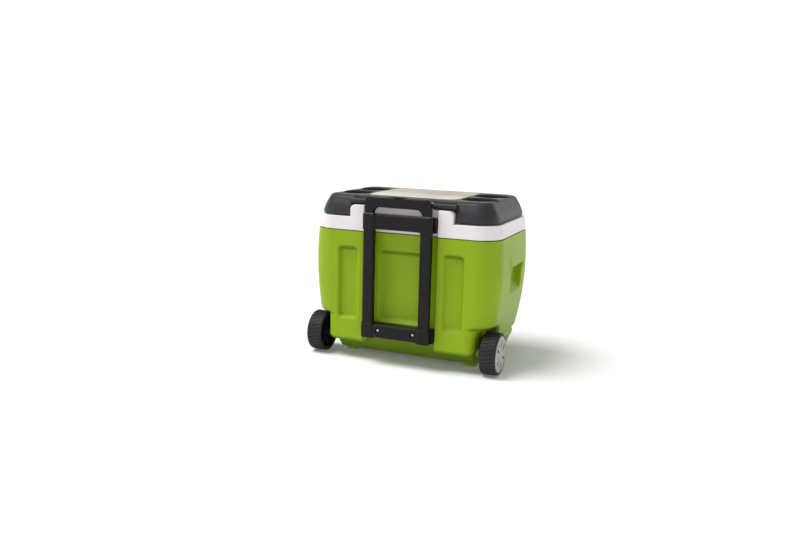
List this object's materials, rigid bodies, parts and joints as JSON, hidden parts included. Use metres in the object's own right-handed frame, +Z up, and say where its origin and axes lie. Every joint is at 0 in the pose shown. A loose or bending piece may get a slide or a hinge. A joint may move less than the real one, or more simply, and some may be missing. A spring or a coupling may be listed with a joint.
{
  "type": "wheeled cooler box",
  "caption": "Hard-sided insulated cooler box with bulging green sides, hinged charcoal lid with cup recesses, two wheels and a telescopic pull handle.",
  "frame": {"origin": "on the floor, under the middle of the whole object's footprint", "axes": "+Z up; +Y towards the pull handle and the lid hinge; +X along the length"},
  "size_m": [0.5188, 0.351, 0.43],
  "materials": {
    "shell_green": "satin",
    "collar_white": "satin",
    "liner_white": "satin",
    "lid_charcoal": "satin",
    "handle_black": "satin",
    "button_black": "satin",
    "tube_grey": "satin",
    "steel": "satin",
    "screw_steel": "polished",
    "tyre_black": "matte",
    "wheel_black": "satin",
    "hub_grey": "satin",
    "foam": "matte",
    "label_card": "satin"
  },
  "bodies": {
    "cooler_body": {"outer_shell": "shell_green", "collar": "collar_white", "inner_liner": "liner_white", "body_foam": "foam", "hinge_rod": "steel", "axle": "steel", "axle_washers": "steel", "axle_caps": "steel", "upper_bracket": "handle_black", "lower_bracket": "handle_black", "bracket_screws": "screw_steel", "rail_left": "handle_black", "rail_right": "handle_black"},
    "lid": {"lid_shell": "lid_charcoal", "lid_liner": "liner_white", "lid_foam": "foam", "lid_label": "label_card"},
    "wheel_left": {"wheel_tyre_left": "tyre_black", "wheel_core_left": "wheel_black", "hub_disc_left": "hub_grey"},
    "wheel_right": {"wheel_tyre_right": "tyre_black", "wheel_core_right": "wheel_black", "hub_disc_right": "hub_grey"},
    "handle_lower_stage": {"middle_tube_left": "tube_grey", "middle_tube_right": "tube_grey", "middle_glide_left": "wheel_black", "middle_glide_right": "wheel_black"},
    "handle_upper_stage": {"inner_tube_left": "tube_grey", "inner_tube_right": "tube_grey", "inner_glide_left": "wheel_black", "inner_glide_right": "wheel_black", "grip": "handle_black", "release_springs": "steel"},
    "handle_release": {"release_button": "button_black", "release_yoke": "wheel_black", "push_rods": "steel"}
  },
  "joints": [
    {"name": "lid_hinge", "type": "hinge", "parent": "cooler_body", "child": "lid", "pos_m": [0, 0.1375, 0.4125], "axis": [-1, 0, 0], "range_deg": [0, 90]},
    {"name": "wheel_left_spin", "type": "hinge", "parent": "cooler_body", "child": "wheel_left", "pos_m": [0.238, 0.105, 0.053], "axis": [1, 0, 0], "continuous": true},
    {"name": "wheel_right_spin", "type": "hinge", "parent": "cooler_body", "child": "wheel_right", "pos_m": [-0.238, 0.105, 0.053], "axis": [1, 0, 0], "continuous": true},
    {"name": "handle_lower_slide", "type": "slide", "parent": "cooler_body", "child": "handle_lower_stage", "axis": [0, 0, 1], "range_m": [0, 0.245]},
    {"name": "handle_upper_slide", "type": "slide", "parent": "handle_lower_stage", "child": "handle_upper_stage", "axis": [0, 0, 1], "range_m": [0, 0.245]},
    {"name": "release_button_press", "type": "slide", "parent": "handle_upper_stage", "child": "handle_release", "axis": [0, 0, -1], "range_m": [0, 0.004], "stiffness_N_per_m": 600, "springref_m": -0.008, "deforming": ["release_springs"]}
  ]
}
